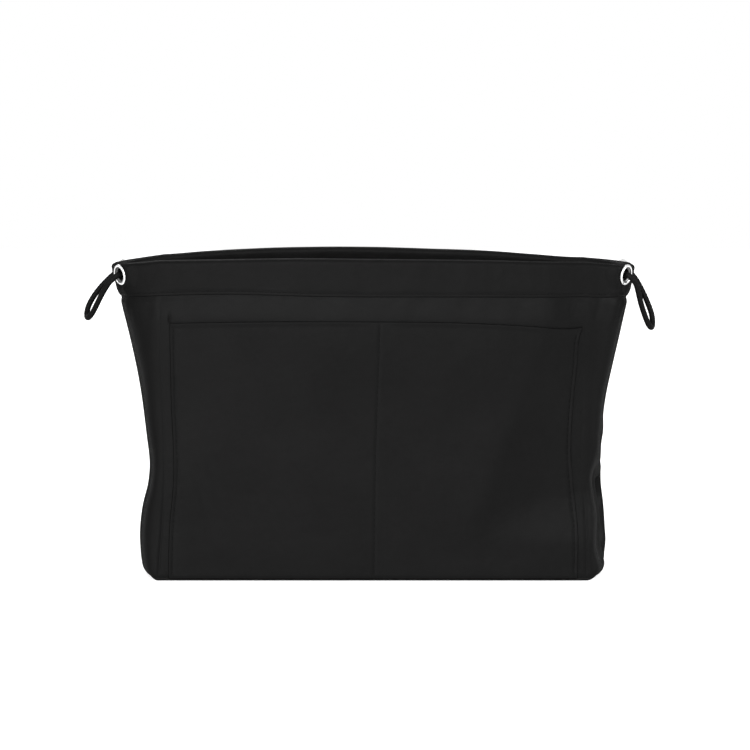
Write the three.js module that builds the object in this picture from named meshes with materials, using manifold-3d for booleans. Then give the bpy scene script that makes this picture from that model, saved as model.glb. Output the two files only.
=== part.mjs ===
// Organizer pouch insert with a drawcord mouth, modelled in millimetres, +Z up.
// The origin is the middle of the base, the front faces -Y and +X is to the right seen from the front.
import * as THREE from "three";
import { mergeVertices } from "three/addons/utils/BufferGeometryUtils.js";
import Module from "manifold-3d";

const wasm = await Module();
wasm.setup();
const { lerp, clamp, degToRad } = THREE.MathUtils;

// Body of the pouch
const seamSpan = 212; // between the two vertical seams of the front face
const baseDepth = 70; // front to back at the base
const rimDepthMiddle = 58; // front to back at the rim, in the middle
const rimDepthSeam = 46; // front to back at the rim, at the seams
const rimHeight = 161.4; // top of the rim in the middle
const rimDropToSeam = 1.5; // how much lower the rim is at the seams
const rimDropToNose = 2.9; // how much lower again it is at the tip of a nose
const bandHeight = 19.7; // height of the casing band in the middle
const bandLossToSeam = 0.8; // how much less band there is at the seams
const bandLossToNose = 1.5; // how much less again at the tip of a nose

// Side gussets: how far they stand out past the seams, from the floor to the rim, and how boxy they are
const noseProfile = [
  [0, 8],
  [18, 10.2],
  [50, 6.2],
  [88, 9.7],
  [rimHeight - 36.4, 17.6],
  [rimHeight - rimDropToSeam - rimDropToNose, 25.6],
];
const boxyPowerAtBase = 3.2;
const roundPowerAtBand = 2;

// Layers
const panelThickness = 1.2;
const liningThickness = 0.8;
const liningGap = 0.4; // between a panel and its lining
const seamGap = 0.3; // between pieces sewn together
const basePanelThickness = 1.2;
const boardThickness = 1.8;
const boardMargin = 0.7; // from the wall lining in to the edge of the base board

// Casing band with its tunnel
const casingFabric = 1;
const casingProud = 0.4; // how far the band stands proud of the panel
const casingDepth = 6.8; // through the band, both layers and the tunnel
const casingRimRound = 2.4; // height of the rounded top
const casingPinchHeight = 7; // height over which the band narrows down to its seam

// Eyelets
const eyeletAngle = 34; // degrees from the tip of the nose, seen from above
const eyeletDrop = 10.2; // from the top of the rim in the middle down to the middle of an eyelet
const eyeletFlat = 0.6; // how far the fabric is pulled flat under a flange
const eyeletBore = 3;
const eyeletBarrel = 3.45;
const eyeletFlange = 5.2;
const eyeletFlangeThickness = 1;
const eyeletFlare = 4.1;
const eyeletFlareThickness = 0.35;
const washerRadius = 4.4;
const washerThickness = 0.3;
const eyeletClearance = 0.3; // between an eyelet and what it passes through or clamps

// Drawcord
const cordDiameter = 2.8;
const cordBend = 2.2; // radius of the turn behind an eyelet
const cordDepthInTunnel = 2.9; // from the panel face in to the middle of the cord
const cordDip = 0.65; // how much deeper it runs behind an eyelet
const cordTurnAngle = 58; // degrees from the tip of the nose where it leaves the tunnel's line
const cordRecess = 0.4; // how far past the fabric the cord reaches inside an eyelet
const loopStart = 0.7; // where the free loop takes over, measured out from the fabric
const loopLead = 1.1; // how far it then runs straight out
const tipHalfLength = 9.5; // the tip of a loop, along the cord, either side of its middle

// Front pockets
const pocketSpan = 207; // both compartments together
const pocketTop = 129.5;
const pocketFabric = 1;
const pocketDivider = 0.4; // between the compartments

// Finish
const fabricBlack = { color: 0x1a1a1b, roughness: 0.62, metalness: 0 };
const liningBlack = { color: 0x161617, roughness: 0.7, metalness: 0 };
const boardGrey = { color: 0x2b2b2d, roughness: 0.8, metalness: 0 };
const cordBlack = { color: 0x121213, roughness: 0.75, metalness: 0 };
const nickel = { color: 0xd6d6d8, roughness: 0.2, metalness: 1 };

// Worked out from the sizes above
const seamX = seamSpan / 2;
const wallEndX = seamX - seamGap / 2;
const gussetStartX = seamX + seamGap / 2;
const liningFace = -(panelThickness + liningGap);
const innerFace = liningFace - liningThickness;
const wallFoot = basePanelThickness + seamGap;
const liningFoot = wallFoot + seamGap;
const boardFace = innerFace - boardMargin;
const boardTop = wallFoot + boardThickness;
const baseLiningBottom = boardTop + seamGap;
const bandFoot = rimHeight - bandHeight;
const eyeletHeight = rimHeight - eyeletDrop;

const pouch = new THREE.Group();

function addMesh(name, geometry, finish) {
  const mesh = new THREE.Mesh(geometry, new THREE.MeshStandardMaterial(finish));
  mesh.name = name;
  pouch.add(mesh);
  return mesh;
}

// A smooth curve through a list of [z, value] pairs, read at one height
function smoothProfile(points, z) {
  const last = points.length - 1;
  const height = clamp(z, points[0][0], points[last][0]);
  const slope = (i) => {
    const before = points[Math.max(i - 1, 0)];
    const after = points[Math.min(i + 1, last)];
    return (after[1] - before[1]) / (after[0] - before[0]);
  };
  let i = 0;
  while (i < last - 1 && height > points[i + 1][0]) i++;
  const span = points[i + 1][0] - points[i][0];
  const t = (height - points[i][0]) / span;
  return (
    points[i][1] * (2 * t ** 3 - 3 * t ** 2 + 1) +
    slope(i) * span * (t ** 3 - 2 * t ** 2 + t) +
    points[i + 1][1] * (3 * t ** 2 - 2 * t ** 3) +
    slope(i + 1) * span * (t ** 3 - t ** 2)
  );
}

// Half depth of the body at the seams and in the middle of the front
const seamDepth = (z) => lerp(baseDepth, rimDepthSeam, z / rimHeight) / 2;
const middleDepth = (z) => lerp(baseDepth, rimDepthMiddle, z / rimHeight) / 2;

// A point of the front (side -1) or rear (side 1) wall, a distance out from its face
function wallPoint(side, x, z, outward) {
  const depth = lerp(middleDepth(z), seamDepth(z), (x / seamX) ** 2);
  return new THREE.Vector3(x, side * (depth + outward), z);
}

// How far round the nose a point is: 0 at the seams and 1 at the tip
const noseShare = (angle) => Math.max(Math.cos(angle), 0);

// A gusset's plan at a height: a rounded box low down and near a half circle at the band
function gussetPlan(angle, z, outward) {
  const boxy = lerp(boxyPowerAtBase, roundPowerAtBand, clamp(z / bandFoot, 0, 1));
  const power = 2 / boxy;
  const reach = smoothProfile(noseProfile, z) - seamGap / 2 + outward;
  const depth = seamDepth(z) + outward;
  const side = Math.sign(Math.sin(angle));
  return new THREE.Vector2(
    reach * noseShare(angle) ** power,
    side * depth * Math.abs(Math.sin(angle)) ** power,
  );
}

// Distance of the flat under an eyelet from the middle of the seam plane; it changes evenly with height
const eyeletTurn = degToRad(eyeletAngle);
const noseTop = noseProfile.at(-1)[0];
const flatDistanceAt = (z) => {
  const reach = smoothProfile(noseProfile, z) - seamGap / 2;
  return Math.hypot(reach * Math.cos(eyeletTurn), seamDepth(z) * Math.sin(eyeletTurn)) - eyeletFlat;
};
const flatLow = flatDistanceAt(bandFoot);
const flatLean = (flatDistanceAt(noseTop) - flatLow) / (noseTop - bandFoot);
const flatDistance = (z) => flatLow + flatLean * (z - bandFoot);

// A point of the right gusset, a distance out from its face
function gussetPoint(angle, z, outward) {
  const plan = gussetPlan(angle, z, outward);
  return new THREE.Vector3(gussetStartX + plan.x, plan.y, z);
}

// The same on the band, where the fabric is pulled flat under the two eyelets
function noseBandPoint(angle, z, outward) {
  const plan = gussetPlan(angle, z, outward);
  const across = plan.x * Math.cos(eyeletTurn) + Math.abs(plan.y) * Math.sin(eyeletTurn);
  plan.multiplyScalar(Math.min(1, (flatDistance(z) + outward) / across));
  return new THREE.Vector3(gussetStartX + plan.x, plan.y, z);
}

// Heights of the rim and of the seam under the band, along a wall and round a nose
const wallRim = (x) => rimHeight - rimDropToSeam * (x / seamX) ** 2;
const wallBand = (x) => bandHeight - bandLossToSeam * (x / seamX) ** 2;
const noseRim = (angle) => wallRim(seamX) - rimDropToNose * noseShare(angle);
const noseBand = (angle) => wallBand(seamX) - bandLossToNose * noseShare(angle);

// A closed solid from points and triangles, with its faces turned out
function closedGeometry(points, triangles) {
  let volume = 0;
  for (const [a, b, c] of triangles) {
    volume += points[a].dot(new THREE.Vector3().crossVectors(points[b], points[c]));
  }
  const index = triangles.flatMap(([a, b, c]) => (volume < 0 ? [a, c, b] : [a, b, c]));
  const geometry = new THREE.BufferGeometry().setFromPoints(points);
  geometry.setIndex(index);
  geometry.computeVertexNormals();
  return geometry;
}

// A sheet with an outside (side 0) and an inside (side 1), closed along its edges.
// A wrapped sheet joins its last row to its first, which makes a sleeve open at both ends.
function sheetGeometry(columns, rows, place, wrapped = false) {
  const rowCount = wrapped ? rows : rows + 1;
  const points = [];
  const triangles = [];
  for (const side of [0, 1]) {
    for (let j = 0; j < rowCount; j++) {
      for (let i = 0; i <= columns; i++) points.push(place(i, j, side));
    }
  }
  const at = (i, j, side) => (side * rowCount + (j % rowCount)) * (columns + 1) + i;
  const quad = (a, b, c, d) => triangles.push([a, b, c], [a, c, d]);
  for (let j = 0; j < rows; j++) {
    for (let i = 0; i < columns; i++) {
      quad(at(i, j, 0), at(i + 1, j, 0), at(i + 1, j + 1, 0), at(i, j + 1, 0));
      quad(at(i, j, 1), at(i, j + 1, 1), at(i + 1, j + 1, 1), at(i + 1, j, 1));
    }
    quad(at(0, j, 0), at(0, j + 1, 0), at(0, j + 1, 1), at(0, j, 1));
    quad(at(columns, j, 0), at(columns, j, 1), at(columns, j + 1, 1), at(columns, j + 1, 0));
  }
  if (!wrapped) {
    for (let i = 0; i < columns; i++) {
      quad(at(i, 0, 0), at(i, 0, 1), at(i + 1, 0, 1), at(i + 1, 0, 0));
      quad(at(i, rows, 0), at(i + 1, rows, 0), at(i + 1, rows, 1), at(i, rows, 1));
    }
  }
  return closedGeometry(points, triangles);
}

// The same solid on the other side of the middle of the pouch
function mirrored(geometry) {
  const copy = geometry.clone().scale(-1, 1, 1);
  const index = copy.getIndex().array;
  for (let i = 0; i < index.length; i += 3) [index[i + 1], index[i + 2]] = [index[i + 2], index[i + 1]];
  copy.computeVertexNormals();
  return copy;
}

function toSolid(geometry) {
  const plain = geometry.clone();
  plain.deleteAttribute("normal");
  plain.deleteAttribute("uv");
  const merged = mergeVertices(plain, 1e-5);
  return new wasm.Manifold(
    new wasm.Mesh({
      numProp: 3,
      vertProperties: new Float32Array(merged.getAttribute("position").array),
      triVerts: new Uint32Array(merged.getIndex().array),
    }),
  );
}

function toGeometry(solid) {
  const mesh = solid.getMesh();
  const geometry = new THREE.BufferGeometry();
  geometry.setAttribute("position", new THREE.BufferAttribute(mesh.vertProperties, 3));
  geometry.setIndex(new THREE.BufferAttribute(mesh.triVerts, 1));
  geometry.computeVertexNormals();
  return geometry;
}

// Front and rear walls: a panel and a lining each, up to the band
const wallColumns = 10;
const wallRows = 4;

function wallSheet(side, foot, faces, halfWidth, top) {
  return sheetGeometry(wallColumns, wallRows, (i, j, layer) => {
    const x = lerp(-halfWidth, halfWidth, i / wallColumns);
    const z = lerp(foot, top(x), j / wallRows);
    return wallPoint(side, x, z, faces[layer]);
  });
}

const wallTop = (x) => wallRim(x) - wallBand(x) - seamGap;
for (const [name, side] of [["front", -1], ["rear", 1]]) {
  addMesh(name + "_panel", wallSheet(side, wallFoot, [0, -panelThickness], wallEndX, wallTop), fabricBlack);
  const liningFaces = [liningFace, innerFace];
  addMesh(name + "_lining", wallSheet(side, liningFoot, liningFaces, wallEndX, wallTop), liningBlack);
}

// Side gussets and their linings
const gussetColumns = 14;
const gussetRows = 9;

function gussetSheet(foot, faces) {
  return sheetGeometry(gussetColumns, gussetRows, (i, j, layer) => {
    const angle = lerp(-Math.PI / 2, Math.PI / 2, i / gussetColumns);
    const z = lerp(foot, noseRim(angle) - noseBand(angle) - seamGap, j / gussetRows);
    return gussetPoint(angle, z, faces[layer]);
  });
}

const gusset = gussetSheet(wallFoot, [0, -panelThickness]);
const gussetLining = gussetSheet(liningFoot, [liningFace, innerFace]);
addMesh("right_gusset", gusset, fabricBlack);
addMesh("left_gusset", mirrored(gusset), fabricBlack);
addMesh("right_gusset_lining", gussetLining, liningBlack);
addMesh("left_gusset_lining", mirrored(gussetLining), liningBlack);

// Base: a plate with the pouch's plan, drawn in by a margin
const baseSteps = gussetColumns;

function basePlate(bottom, thickness, outward) {
  const outline = [];
  for (const side of [1, -1]) {
    for (let i = 0; i <= baseSteps; i++) {
      const angle = lerp(-Math.PI / 2, Math.PI / 2, i / baseSteps);
      const point = gussetPoint(angle, 0, outward);
      outline.push(new THREE.Vector2(side * point.x, side * point.y));
    }
  }
  const shape = new THREE.Shape(outline);
  return new THREE.ExtrudeGeometry(shape, { depth: thickness, bevelEnabled: false }).translate(0, 0, bottom);
}

addMesh("base_panel", basePlate(0, basePanelThickness, 0), fabricBlack);
addMesh("base_board", basePlate(wallFoot, boardThickness, boardFace), boardGrey);
addMesh("base_lining", basePlate(baseLiningBottom, liningThickness, boardFace), liningBlack);

// Casing band: a sleeve with a rounded top that narrows to its seam. Its section is a list of
// [distance out from the face, height over the seam] pairs, outside (inset 0) or along the tunnel.
const rimSteps = 4;

function casingSection(height, inset) {
  const face = casingProud - inset;
  const back = casingProud - casingDepth + inset;
  const middle = (face + back) / 2;
  const half = (face - back) / 2;
  const section = [
    [face, inset],
    [face, height / 2],
  ];
  for (let k = 0; k <= rimSteps; k++) {
    const turn = (Math.PI * k) / rimSteps;
    const over = height - casingRimRound + (casingRimRound - inset) * Math.sin(turn);
    section.push([middle + half * Math.cos(turn), over]);
  }
  section.push([back, casingPinchHeight]);
  section.push([innerFace - casingProud + inset / 2, inset]);
  return section;
}

const casingRows = casingSection(bandHeight, 0).length;
const casingColumns = 10;
const noseColumns = 16;

function casingSleeve(side) {
  return sheetGeometry(
    casingColumns,
    casingRows,
    (i, j, layer) => {
      const x = lerp(-wallEndX, wallEndX, i / casingColumns);
      const [outward, over] = casingSection(wallBand(x), layer * casingFabric)[j];
      return wallPoint(side, x, wallRim(x) - wallBand(x) + over, outward);
    },
    true,
  );
}

addMesh("front_casing", casingSleeve(-1), fabricBlack);
addMesh("rear_casing", casingSleeve(1), fabricBlack);

const casingEndSleeve = sheetGeometry(
  noseColumns,
  casingRows,
  (i, j, layer) => {
    const angle = lerp(-Math.PI / 2, Math.PI / 2, i / noseColumns);
    const [outward, over] = casingSection(noseBand(angle), layer * casingFabric)[j];
    return noseBandPoint(angle, noseRim(angle) - noseBand(angle) + over, outward);
  },
  true,
);

// Where each right-hand eyelet sits: a point on the band's outer face, its outward direction, and the
// level direction along the tunnel towards the seam
function eyeletSeat(side) {
  const distance = flatDistance(eyeletHeight) + casingProud;
  const outward = new THREE.Vector3(Math.cos(eyeletTurn), side * Math.sin(eyeletTurn), -flatLean).normalize();
  const along = new THREE.Vector3(-Math.sin(eyeletTurn), side * Math.cos(eyeletTurn), 0);
  const centre = new THREE.Vector3(
    gussetStartX + distance * Math.cos(eyeletTurn),
    side * distance * Math.sin(eyeletTurn),
    eyeletHeight,
  );
  return { centre, outward, along };
}

const seats = { front: eyeletSeat(-1), rear: eyeletSeat(1) };
const lathUp = new THREE.Vector3(0, 1, 0);

function seated(geometry, seat) {
  const turn = new THREE.Quaternion().setFromUnitVectors(lathUp, seat.outward);
  return geometry.clone().applyQuaternion(turn).translate(seat.centre.x, seat.centre.y, seat.centre.z);
}

const latheSteps = 16;
const holeRadius = eyeletBarrel + eyeletClearance;
const holeDepth = casingFabric + casingProud;
let casingEnd = toSolid(casingEndSleeve);
for (const seat of Object.values(seats)) {
  const cutter = new THREE.CylinderGeometry(holeRadius, holeRadius, 2 * holeDepth, latheSteps);
  casingEnd = casingEnd.subtract(toSolid(seated(cutter, seat)));
}
const casingEndGeometry = toGeometry(casingEnd);
addMesh("right_casing_end", casingEndGeometry, fabricBlack);
addMesh("left_casing_end", mirrored(casingEndGeometry), fabricBlack);

// Eyelets: a rounded flange outside, a barrel through the fabric and a flare that holds the washer
const washerTop = -(casingFabric + eyeletClearance);
const flareTop = washerTop - washerThickness - eyeletClearance;
const flangeTop = eyeletClearance + eyeletFlangeThickness;

// Rounding of the flange: [share of its width from the rim to the bore, share of its thickness] pairs
const flangeRound = [
  [0, 0],
  [0, 0.35],
  [0.2, 0.85],
  [0.5, 1],
  [0.85, 0.8],
  [1, 0.4],
];

const eyeletProfile = [
  [eyeletBore, flareTop - eyeletFlareThickness],
  [eyeletFlare, flareTop - eyeletFlareThickness],
  [eyeletFlare, flareTop],
  [eyeletBarrel, flareTop],
  [eyeletBarrel, eyeletClearance],
  ...flangeRound.map(([inward, over]) => [
    lerp(eyeletFlange, eyeletBore, inward),
    lerp(eyeletClearance, flangeTop, over),
  ]),
];
const washerProfile = [
  [eyeletBarrel + eyeletClearance, washerTop - washerThickness],
  [washerRadius, washerTop - washerThickness],
  [washerRadius, washerTop],
  [eyeletBarrel + eyeletClearance, washerTop],
];

function ringGeometry(profile) {
  const closed = [...profile, profile[0]].map(([radius, height]) => new THREE.Vector2(radius, height));
  return new THREE.LatheGeometry(closed, latheSteps);
}

// One closed mesh from a lathe: the seam where it meets itself is merged
function mergedGeometry(geometry) {
  return toGeometry(toSolid(geometry));
}

for (const [name, seat] of Object.entries(seats)) {
  const eyelet = mergedGeometry(seated(ringGeometry(eyeletProfile), seat));
  const washer = mergedGeometry(seated(ringGeometry(washerProfile), seat));
  addMesh(name + "_right_eyelet", eyelet, nickel);
  addMesh(name + "_left_eyelet", mirrored(eyelet), nickel);
  addMesh(name + "_right_eyelet_washer", washer, nickel);
  addMesh(name + "_left_eyelet_washer", mirrored(washer), nickel);
}

// Front pockets: two flat compartments side by side on the front panel
const pocketColumns = 4;
const pocketRows = 3;

function pocketSheet(from, to) {
  return sheetGeometry(pocketColumns, pocketRows, (i, j, layer) => {
    const x = lerp(from, to, i / pocketColumns);
    const z = lerp(wallFoot, pocketTop, j / pocketRows);
    return wallPoint(-1, x, z, seamGap + (layer === 0 ? pocketFabric : 0));
  });
}

addMesh("front_pocket_left", pocketSheet(-pocketSpan / 2, -pocketDivider / 2), fabricBlack);
addMesh("front_pocket_right", pocketSheet(pocketDivider / 2, pocketSpan / 2), fabricBlack);

// Drawcord. A tube of eight sides along a curve
const cordSides = 8;
const cordSection = new THREE.Shape(
  Array.from({ length: cordSides }, (_, k) => {
    const turn = (2 * Math.PI * k) / cordSides;
    return new THREE.Vector2(Math.cos(turn), Math.sin(turn)).multiplyScalar(cordDiameter / 2);
  }),
);

function cordGeometry(curve, steps) {
  return new THREE.ExtrudeGeometry(cordSection, { extrudePath: curve, steps, bevelEnabled: false });
}

const runSteps = 12;

// Straight runs inside the front and rear casings
for (const [name, side] of [["front", -1], ["rear", 1]]) {
  const route = Array.from({ length: casingColumns + 1 }, (_, i) => {
    const x = lerp(-wallEndX, wallEndX, i / casingColumns);
    return wallPoint(side, x, eyeletHeight, -cordDepthInTunnel);
  });
  addMesh(name + "_drawcord", cordGeometry(new THREE.CatmullRomCurve3(route), runSteps), cordBlack);
}

// Ends of the runs: round the nose inside the tunnel, then out through an eyelet
const tunnelSteps = 4;
const turnSteps = 4;
const cordEndSteps = 20;
const turnTop = cordBend - (cordDepthInTunnel + casingProud + cordDip);

function cordEndRoute(side) {
  const { centre, outward, along } = seats[side < 0 ? "front" : "rear"];
  const local = (out, level) => centre.clone().addScaledVector(outward, out).addScaledVector(along, level);
  const route = [];
  for (let i = 0; i <= tunnelSteps; i++) {
    const share = i / tunnelSteps;
    const angle = side * degToRad(lerp(90, cordTurnAngle, share));
    route.push(gussetPoint(angle, eyeletHeight, -(cordDepthInTunnel + cordDip * share)));
  }
  for (let i = 0; i <= turnSteps; i++) {
    const turn = (Math.PI / 2) * (1 - i / turnSteps);
    route.push(local(turnTop - cordBend * Math.sin(turn), cordBend * (1 - Math.cos(turn))));
  }
  route.push(local(0, 0), local(cordRecess, 0));
  return new THREE.CatmullRomCurve3(route, false, "centripetal");
}

for (const [name, side] of [["front", -1], ["rear", 1]]) {
  const end = mergedGeometry(cordGeometry(cordEndRoute(side), cordEndSteps));
  addMesh(name + "_right_drawcord_end", end, cordBlack);
  addMesh(name + "_left_drawcord_end", mirrored(end), cordBlack);
}

// Pull loops: the cord's free stretches, from the front eyelet to the rear one, as points chosen by hand
// on the right-hand side. They start and end where an eyelet's cord ends.
function loopExit(seat) {
  return [0, loopLead].map((lead) => seat.centre.clone().addScaledVector(seat.outward, loopStart + lead));
}
const loopRoutes = {
  left: [
    [128.9, -14.8, 149.8],
    [131.2, -14.8, 147.7],
    [133.2, -13.6, 144.9],
    [135.1, -11.8, 141.7],
    [136.9, -9.8, 138.3],
    [138.6, -7.8, 134.9],
    [140.3, -5.6, 131.7],
    [141.9, -3.1, 129.3],
    [143.2, -0.1, 128.0],
    [144.0, 3.0, 128.2],
    [144.2, 5.7, 130.0],
    [143.6, 7.8, 132.7],
    [142.2, 9.6, 135.7],
    [140.2, 11.4, 138.8],
    [137.8, 13.0, 141.8],
    [135.2, 14.2, 144.6],
    [132.6, 15.0, 147.1],
    [130.4, 15.1, 148.9],
    [128.6, 14.8, 150.1],
  ],
  right: [
    [129.0, -14.9, 149.5],
    [131.0, -15.0, 146.8],
    [132.1, -13.8, 143.5],
    [133.0, -12.2, 139.9],
    [134.1, -10.3, 135.9],
    [135.5, -8.2, 131.7],
    [137.0, -6.1, 127.8],
    [138.4, -3.7, 124.8],
    [139.7, -0.9, 123.2],
    [140.5, 2.1, 123.4],
    [140.9, 4.9, 125.5],
    [140.5, 7.0, 129.1],
    [139.1, 9.0, 133.3],
    [137.3, 11.0, 137.6],
    [135.2, 13.0, 141.9],
    [133.0, 14.6, 145.7],
    [130.8, 15.2, 148.4],
    [128.9, 15.0, 150.0],
  ],
};

// Part of a longer curve, between two distances along it
class Stretch extends THREE.Curve {
  constructor(whole, from, to) {
    super();
    this.whole = whole;
    this.from = from / whole.getLength();
    this.to = to / whole.getLength();
  }
  getPoint(t, target = new THREE.Vector3()) {
    return this.whole.getPointAt(lerp(this.from, this.to, t), target);
  }
}

const strandSteps = 12;
const tipSteps = 10;

for (const [name, points] of Object.entries(loopRoutes)) {
  const middle = points.map(([x, y, z]) => new THREE.Vector3(x, y, z));
  const ends = [loopExit(seats.front), loopExit(seats.rear).reverse()];
  const whole = new THREE.CatmullRomCurve3([...ends[0], ...middle, ...ends[1]], false, "centripetal");
  const length = whole.getLength();
  const tipStart = length / 2 - tipHalfLength;
  const tipEnd = length / 2 + tipHalfLength;
  const stretches = {
    front_strand: [0, tipStart - seamGap / 2, strandSteps],
    tip: [tipStart + seamGap / 2, tipEnd - seamGap / 2, tipSteps],
    rear_strand: [tipEnd + seamGap / 2, length, strandSteps],
  };
  for (const [part, [from, to, steps]] of Object.entries(stretches)) {
    const tube = mergedGeometry(cordGeometry(new Stretch(whole, from, to), steps));
    addMesh(name + "_loop_" + part, name === "right" ? tube : mirrored(tube), cordBlack);
  }
}

export default pouch;
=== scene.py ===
"""Looks of a drawcord pouch insert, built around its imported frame.

Lengths here are millimetres, as in the part's source, and new_object turns them into metres.
x runs to the right, the front faces -y and z is up. side is -1 at the front and 1 at the rear,
end is -1 at the left and 1 at the right.
"""

import math

import bpy
import numpy as np
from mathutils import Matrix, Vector


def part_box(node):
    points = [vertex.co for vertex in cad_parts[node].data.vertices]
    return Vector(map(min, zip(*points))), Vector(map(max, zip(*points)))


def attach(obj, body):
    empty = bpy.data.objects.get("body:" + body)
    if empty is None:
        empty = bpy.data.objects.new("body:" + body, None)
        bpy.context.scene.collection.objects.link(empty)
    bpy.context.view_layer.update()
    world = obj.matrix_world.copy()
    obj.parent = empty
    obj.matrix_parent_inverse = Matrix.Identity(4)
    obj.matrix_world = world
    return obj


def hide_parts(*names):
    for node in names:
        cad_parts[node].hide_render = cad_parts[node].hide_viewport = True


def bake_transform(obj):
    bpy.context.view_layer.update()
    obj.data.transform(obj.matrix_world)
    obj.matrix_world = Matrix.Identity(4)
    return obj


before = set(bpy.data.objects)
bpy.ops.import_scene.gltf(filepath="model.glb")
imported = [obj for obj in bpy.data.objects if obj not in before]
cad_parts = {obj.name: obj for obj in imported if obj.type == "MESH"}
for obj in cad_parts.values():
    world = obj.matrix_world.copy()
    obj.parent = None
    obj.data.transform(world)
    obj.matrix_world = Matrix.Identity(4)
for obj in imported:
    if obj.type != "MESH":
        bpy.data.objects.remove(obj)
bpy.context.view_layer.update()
MM = 0.001
FRONT, REAR, LEFT, RIGHT = -1, 1, -1, 1
SIDES = {"front": FRONT, "rear": REAR}
ENDS = {"left": LEFT, "right": RIGHT}
CORNERS = [
    (f"{side_name}_{end_name}", end, side)
    for end_name, end in ENDS.items()
    for side_name, side in SIDES.items()
]


def high(node):
    """The highest corner of a node of the frame, in millimetres."""
    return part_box(node)[1] / MM


def low(node):
    """Its lowest corner."""
    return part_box(node)[0] / MM


# Sizes taken from the frame
PANEL_GAP = 0.3  # between sewn pieces in the frame
SEAM_X = high("front_panel").x + PANEL_GAP / 2
BASE_HALF_DEPTH = high("base_panel").y
RIM_HEIGHT = high("front_casing").z
BASE_PANEL_TOP = high("base_panel").z
WALL_FOOT = low("front_panel").z
BASE_LINING_FOOT = low("base_lining").z
BASE_LINING_TOP = high("base_lining").z
POCKET_TOP = high("front_pocket_left").z

# Sizes of the body that its surfaces are worked out from
RIM_HALF_DEPTH_MIDDLE = 29.0
RIM_HALF_DEPTH_SEAM = 23.0
RIM_DROP_TO_SEAM = 1.5
RIM_DROP_TO_NOSE = 2.9
BAND_HEIGHT = 19.7
BAND_LOSS_TO_SEAM = 0.8
BAND_LOSS_TO_NOSE = 1.5
BAND_FOOT = RIM_HEIGHT - BAND_HEIGHT
SLIT = 0.04  # between the band and the cloth below it

# How far each end stands out past the frame's seam at its tip, as [height, reach] pairs
NOSE = {
    LEFT: [
        [0, 4.0], [1.5, 7.1], [3, 9.0], [4.5, 9.9], [8, 10.5], [14, 11.1], [20, 11.5], [33, 10.4], [45, 7.5],
        [53, 6.6], [70, 7.8], [88, 10.3], [106, 13.3], [124.5, 17.5], [141, 21.8], [157, 25.6],
    ],
    RIGHT: [
        [0, 4.2], [1.5, 7.8], [3, 9.9], [4.5, 10.9], [8, 11.4], [14, 12.1], [20, 11.8], [33, 10.8], [45, 9.3],
        [55, 8.9], [70, 9.0], [88, 11.0], [106, 14.6], [124.5, 18.9], [141, 22.6], [157, 25.6],
    ],
}
# Where the upright seams lie, drawn in at the waist, as [height, distance from the middle] pairs
SEAM = {
    LEFT: [[0, 107.2], [12, 106.4], [30, 105.0], [55, 103.7], [90, 104.6], [125, 105.7], [141, 106.0]],
    RIGHT: [[0, 106.4], [30, 106.0], [62, 103.8], [90, 104.6], [125, 105.8], [141, 106.0]],
}
# Where the pockets are sewn down at their outer edges, and the line between them
POCKET_EDGE = {
    LEFT: [[0, -102.2], [28, -101.3], [50, -99.4], [90, -100.4], [122, -100.9], [130, -101.0]],
    RIGHT: [
        [0, 102.0], [30, 101.8], [45, 100.1], [62, 98.8], [90, 99.9], [107, 101.5], [121, 102.6],
        [127, 104.4],
    ],
}
DIVIDER = [[0, 0.4], [60, 1.3], [130, 3.6]]
# How far the pockets' mouths lie above the frame's, as [x, rise] pairs
POCKET_RIM = [[-102, -0.8], [-60, 0.1], [0, 0.4], [50, -0.5], [80, -2.2], [98, -3.7], [105, -3.2]]

# An end's outline seen from above is a superellipse, and these are its powers
BOXY_AT_BASE = 3.2
BOXY_AT_FLOOR = 2.8  # the bottom corners are rounder
ROUND_AT_BAND = 2.0
PANEL = (0.0, -1.2)  # outer and inner face of a panel, out from the pouch's outer surface
LINING = (-1.6, -2.4)
POCKET = (1.3, 0.3)
CASING_PROUD = 0.4  # how far the band stands proud of the panels
CASING_DEPTH = 6.8
CASING_FABRIC = 1.0
CASING_ROUND = 2.4  # height of its rounded rim
CASING_PINCH = 7.0  # height over which it narrows down to its seam
FLANGE = 5.2  # radius of an eyelet's flange


def lerp(a, b, t):
    return a + (b - a) * t


def smooth(distance, width=1.0):
    """An even rise from 0 to 1 over a width."""
    t = np.clip(distance / width, 0.0, 1.0)
    return t * t * (3 - 2 * t)


def hill(distance, width):
    """1 at no distance, and less on both sides."""
    t = distance / width
    return np.exp(-t * t)


def fade(distance, width):
    """1 up to no distance, and less from there on."""
    return np.exp(-np.clip(distance, 0, None) / width)


def spread(count):
    """Shares from 0 to 1 that lie closer together near both ends."""
    share = np.linspace(0, 1, count)
    return lerp(share, smooth(share), 0.8)


def rounded(distance, radius):
    """0 at an edge, 1 from a radius in, as a quarter circle."""
    t = np.clip(distance / radius, 0, 1)
    return np.sqrt(1 - (1 - t) ** 2)


def unit(vectors):
    return vectors / np.linalg.norm(vectors, axis=-1, keepdims=True)


def circles(across, other, count):
    """Unit circles of points, each in the plane of two directions."""
    turn = 2 * np.pi * np.arange(count)[:, None] / count
    return across[..., None, :] * np.cos(turn) + other[..., None, :] * np.sin(turn)


def run_along(path):
    """The distance of each point of a path from its start."""
    return np.concatenate([[0.0], np.cumsum(np.linalg.norm(np.diff(path, axis=0), axis=1))])


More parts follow.
